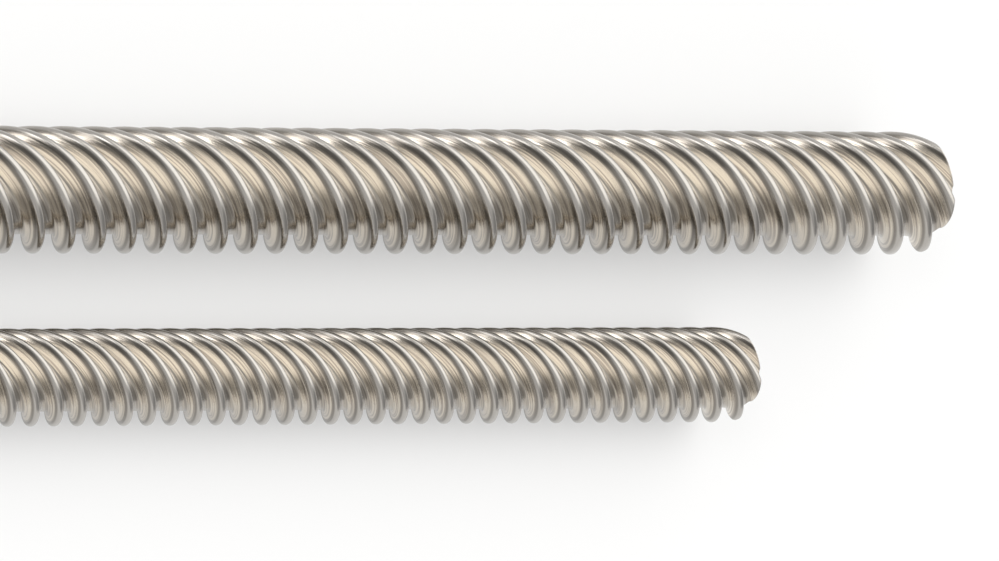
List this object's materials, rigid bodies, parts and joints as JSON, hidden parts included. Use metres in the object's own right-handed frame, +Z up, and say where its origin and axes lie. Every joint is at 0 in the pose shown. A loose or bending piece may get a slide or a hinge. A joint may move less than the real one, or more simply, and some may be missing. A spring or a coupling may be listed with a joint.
{
  "type": "lead screw pair",
  "caption": "Straight lead screws in a large and a small size, with a coarse steep multi-start rolled thread and chamfered ends, made to drive a sliding nut.",
  "frame": {"origin": "on the floor, at the middle of the base of the box around both screws", "axes": "+X along both screws towards the ends that the picture shows, +Y from the small screw to the large one, +Z up"},
  "size_m": [0.188, 0.0366, 0.0156],
  "materials": {
    "large_screw_steel": "bright rolled",
    "small_screw_steel": "bright rolled"
  },
  "bodies": {
    "large_screw_body": {"large_screw": "large_screw_steel"},
    "small_screw_body": {"small_screw": "small_screw_steel"}
  },
  "joints": [
    {"name": "small_screw_turn", "type": "hinge", "parent": "large_screw_body", "child": "small_screw_body", "pos_m": [-0.0167, -0.01235, 0.006], "axis": [1, 0, 0], "continuous": true}
  ]
}
